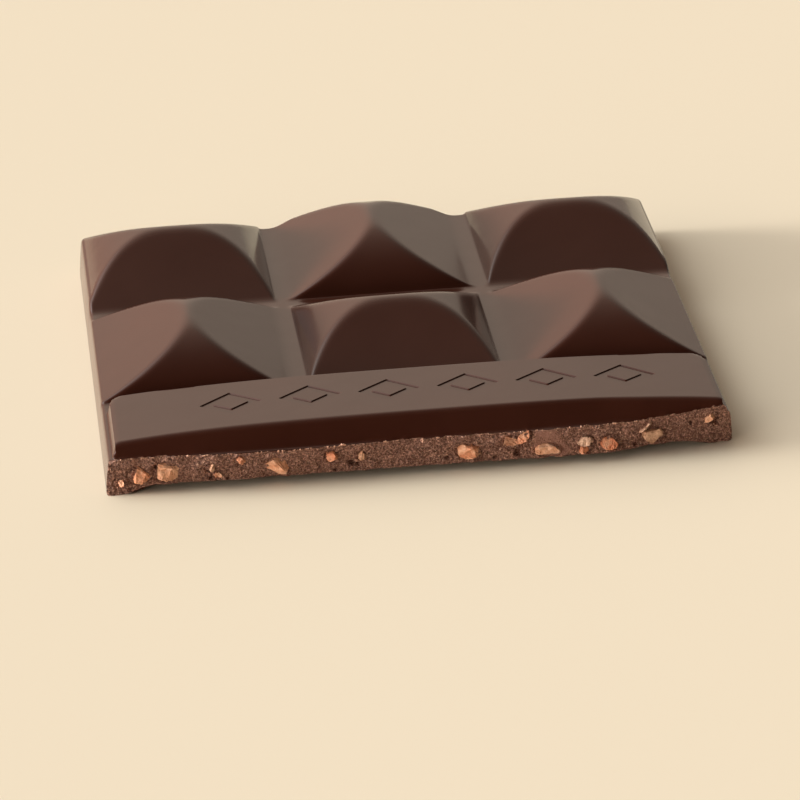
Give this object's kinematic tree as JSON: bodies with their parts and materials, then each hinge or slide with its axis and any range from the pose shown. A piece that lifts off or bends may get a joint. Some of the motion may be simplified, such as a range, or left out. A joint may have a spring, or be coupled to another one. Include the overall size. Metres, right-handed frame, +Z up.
{
  "type": "chocolate bar",
  "caption": "Snapped-off end of a moulded dark chocolate bar with chopped nuts: faceted squares, a raised plain band and a rough broken face.",
  "frame": {"origin": "middle of the bounding box, on the surface that the bar lies on", "axes": "+X across the bar along the raised band, +Y towards the moulded end, +Z up from the underside to the squares"},
  "size_m": [0.0736, 0.0646, 0.0104],
  "materials": {
    "dark_chocolate": null
  },
  "bodies": {
    "root": {"chocolate": "dark_chocolate"}
  },
  "joints": []
}
